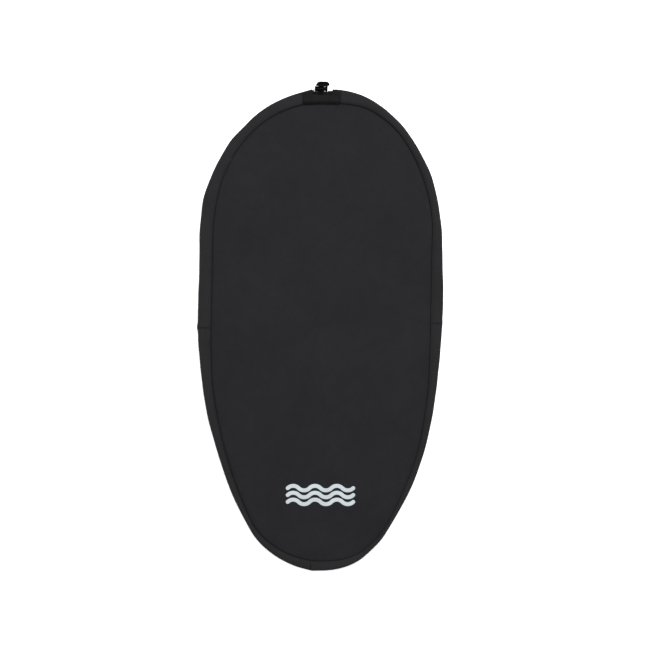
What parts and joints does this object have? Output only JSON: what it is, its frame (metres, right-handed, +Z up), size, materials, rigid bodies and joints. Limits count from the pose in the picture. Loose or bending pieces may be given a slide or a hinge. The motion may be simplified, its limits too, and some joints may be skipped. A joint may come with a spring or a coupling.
{
  "type": "kayak cockpit cover",
  "caption": "Flat egg-shaped neoprene cover for a kayak cockpit, with a stretch cord in its casing rim and a spring cord lock at the wide end.",
  "frame": {"origin": "middle of the cover's bounding box, on the flat surface that it lies on", "axes": "+Z up through the deck's top side, +Y towards the wide aft end with the cord lock, +X to the right seen from above with the aft end away"},
  "size_m": [0.436, 0.8748, 0.0129],
  "materials": {
    "neoprene": "matt four-way-stretch jersey over foamed rubber",
    "shock_cord": "braided sheath over rubber strands",
    "webbing": "woven, slight sheen",
    "thread": "bonded, slight sheen",
    "lock_plastic": "moulded, satin",
    "spring_steel": "drawn wire",
    "emblem_ink": "flexible print, satin"
  },
  "bodies": {
    "cover": {"deck_panel": "neoprene", "band_aft_left": "neoprene", "band_aft_right": "neoprene", "band_fore_left": "neoprene", "band_fore_right": "neoprene", "shock_cord": "shock_cord", "cord_knot": "shock_cord", "cord_tail_left": "shock_cord", "cord_tail_right": "shock_cord", "webbing_patch": "webbing", "patch_stitching": "thread", "joint_stitches_left": "thread", "joint_stitches_right": "thread", "joint_stitches_fore": "thread", "seam_thread": "thread", "emblem_print": "emblem_ink"},
    "cord_lock": {"lock_barrel": "lock_plastic", "lock_spring": "spring_steel"},
    "lock_button": {"lock_plunger": "lock_plastic"}
  },
  "joints": [
    {"name": "lock_slide", "type": "slide", "parent": "cover", "child": "cord_lock", "axis": [0, 1, 0], "range_m": [-0.002, 0.0004]},
    {"name": "button_press", "type": "slide", "parent": "cord_lock", "child": "lock_button", "axis": [-1, 0, 0], "range_m": [0, 0.0024], "stiffness_N_per_m": 1500, "springref_m": -0.002, "deforming": ["lock_spring"]}
  ]
}
